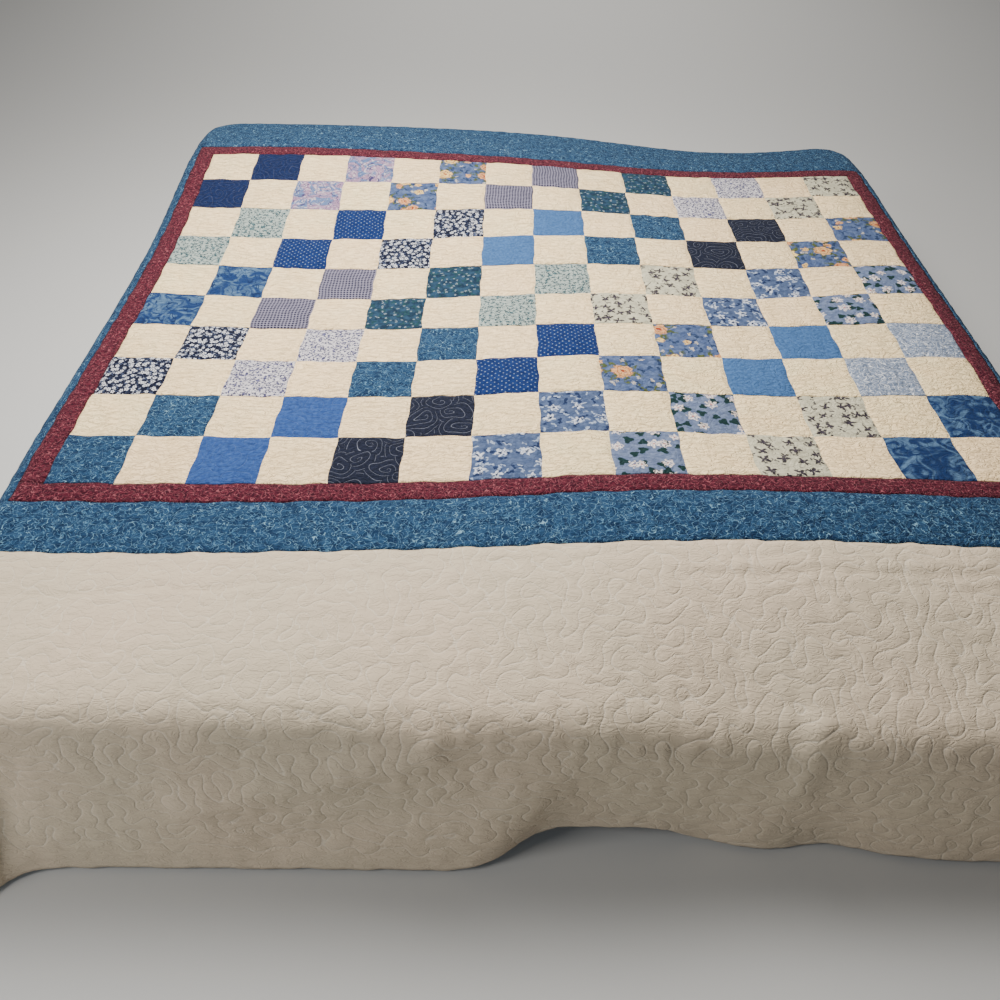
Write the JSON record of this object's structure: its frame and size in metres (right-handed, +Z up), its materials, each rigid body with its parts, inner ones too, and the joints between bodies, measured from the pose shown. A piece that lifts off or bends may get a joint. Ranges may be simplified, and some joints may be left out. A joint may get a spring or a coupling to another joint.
{
  "type": "patchwork quilt over a mattress on a low bed base",
  "caption": "Bordered patchwork bed quilt draped over a plain mattress on a low base, hanging to the floor at the foot and both sides.",
  "frame": {"origin": "centre of the bed base's underside, on the floor", "axes": "+X to the bed's right seen from its foot, +Y from the foot to the head, +Z up"},
  "size_m": [2.1469, 2.1661, 0.4075],
  "materials": {
    "patchwork": "matte printed cotton, quilted",
    "burgundy": "matte cotton, quilted",
    "teal": "matte printed cotton, quilted",
    "cream": "matte plain cotton, quilted",
    "ticking": "matte woven cloth",
    "base_cloth": "matte woven cloth"
  },
  "bodies": {
    "root": {"patchwork_panel": "patchwork", "inner_strip_foot": "burgundy", "inner_strip_head": "burgundy", "inner_strip_left": "burgundy", "inner_strip_right": "burgundy", "middle_strip_foot": "teal", "middle_strip_head": "teal", "middle_strip_left": "teal", "middle_strip_right": "teal", "outer_border_foot": "cream", "outer_border_left": "cream", "outer_border_right": "cream", "mattress": "ticking", "bed_base": "base_cloth"}
  },
  "joints": []
}
